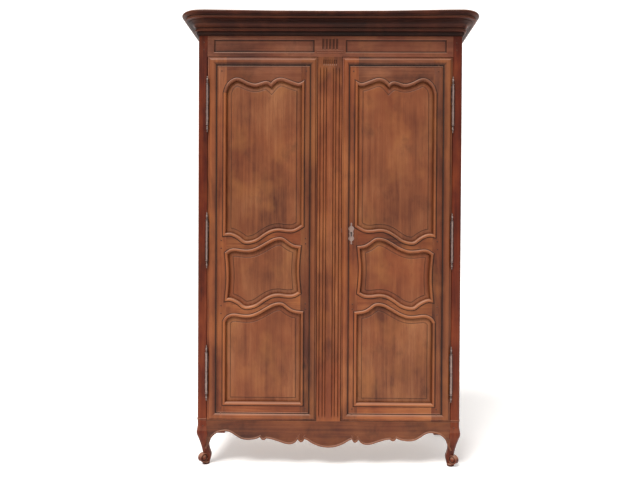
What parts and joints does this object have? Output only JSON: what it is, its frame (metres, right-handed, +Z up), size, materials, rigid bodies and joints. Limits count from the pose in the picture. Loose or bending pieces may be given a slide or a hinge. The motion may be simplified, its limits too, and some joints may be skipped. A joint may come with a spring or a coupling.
{
  "type": "armoire",
  "caption": "Tall two-door walnut armoire with scalloped fielded panels, a fixed reeded centre post, scroll-footed front legs and a moulded cornice.",
  "frame": {"origin": "on the floor, below the middle of the whole piece's bounding box", "axes": "+Z up, the front and the doors face -Y, +X to the viewer's right"},
  "size_m": [1.552, 0.651, 2.37],
  "materials": {
    "frame_walnut": "waxed",
    "panel_walnut": "waxed",
    "post_walnut": "waxed",
    "dark_walnut": "waxed, darkened with age",
    "peg_wood": "waxed",
    "plain_wood": "bare, dusty",
    "iron": "worn, dark"
  },
  "bodies": {
    "case": {"front_left_post": "post_walnut", "front_right_post": "post_walnut", "back_left_post": "post_walnut", "back_right_post": "post_walnut", "frieze_rail": "frame_walnut", "centre_post": "frame_walnut", "apron_rail": "frame_walnut", "left_side_top_rail": "frame_walnut", "left_side_middle_rail": "frame_walnut", "left_side_bottom_rail": "frame_walnut", "left_side_upper_panel": "panel_walnut", "left_side_lower_panel": "panel_walnut", "right_side_top_rail": "frame_walnut", "right_side_middle_rail": "frame_walnut", "right_side_bottom_rail": "frame_walnut", "right_side_upper_panel": "panel_walnut", "right_side_lower_panel": "panel_walnut", "back_top_rail": "plain_wood", "back_bottom_rail": "plain_wood", "back_muntin": "plain_wood", "back_boards": "plain_wood", "top_boards": "plain_wood", "floor_boards": "plain_wood", "shelves": "plain_wood", "shelf_cleats": "plain_wood", "cornice_front": "dark_walnut", "cornice_left_return": "dark_walnut", "cornice_right_return": "dark_walnut", "case_pegs": "peg_wood", "left_hinge_pins": "iron", "right_hinge_pins": "iron", "lock_keeper": "iron"},
    "left_door": {"left_hinge_stile": "frame_walnut", "left_meeting_stile": "frame_walnut", "left_top_rail": "frame_walnut", "left_upper_cross_rail": "frame_walnut", "left_lower_cross_rail": "frame_walnut", "left_bottom_rail": "frame_walnut", "left_upper_panel": "panel_walnut", "left_middle_panel": "panel_walnut", "left_lower_panel": "panel_walnut", "left_hinge_barrels": "iron", "left_door_pegs": "peg_wood", "bolt_guides": "iron"},
    "right_door": {"right_hinge_stile": "frame_walnut", "right_meeting_stile": "frame_walnut", "right_top_rail": "frame_walnut", "right_upper_cross_rail": "frame_walnut", "right_lower_cross_rail": "frame_walnut", "right_bottom_rail": "frame_walnut", "right_upper_panel": "panel_walnut", "right_middle_panel": "panel_walnut", "right_lower_panel": "panel_walnut", "right_hinge_barrels": "iron", "right_door_pegs": "peg_wood", "lock_case": "iron", "escutcheon": "iron"},
    "lock_bolt": {"lock_bolt": "iron"},
    "top_bolt": {"top_bolt": "iron"},
    "bottom_bolt": {"bottom_bolt": "iron"}
  },
  "joints": [
    {"name": "left_door_hinge", "type": "hinge", "parent": "case", "child": "left_door", "pos_m": [-0.6395, -0.2485, 1.19], "axis": [0, 0, -1], "range_deg": [0, 175]},
    {"name": "right_door_hinge", "type": "hinge", "parent": "case", "child": "right_door", "pos_m": [0.6395, -0.2485, 1.19], "axis": [0, 0, 1], "range_deg": [0, 175]},
    {"name": "lock_bolt_slide", "type": "slide", "parent": "right_door", "child": "lock_bolt", "axis": [-1, 0, 0], "range_m": [0, 0.014]},
    {"name": "top_bolt_slide", "type": "slide", "parent": "left_door", "child": "top_bolt", "axis": [0, 0, 1], "range_m": [0, 0.014]},
    {"name": "bottom_bolt_slide", "type": "slide", "parent": "left_door", "child": "bottom_bolt", "axis": [0, 0, -1], "range_m": [0, 0.014]}
  ]
}
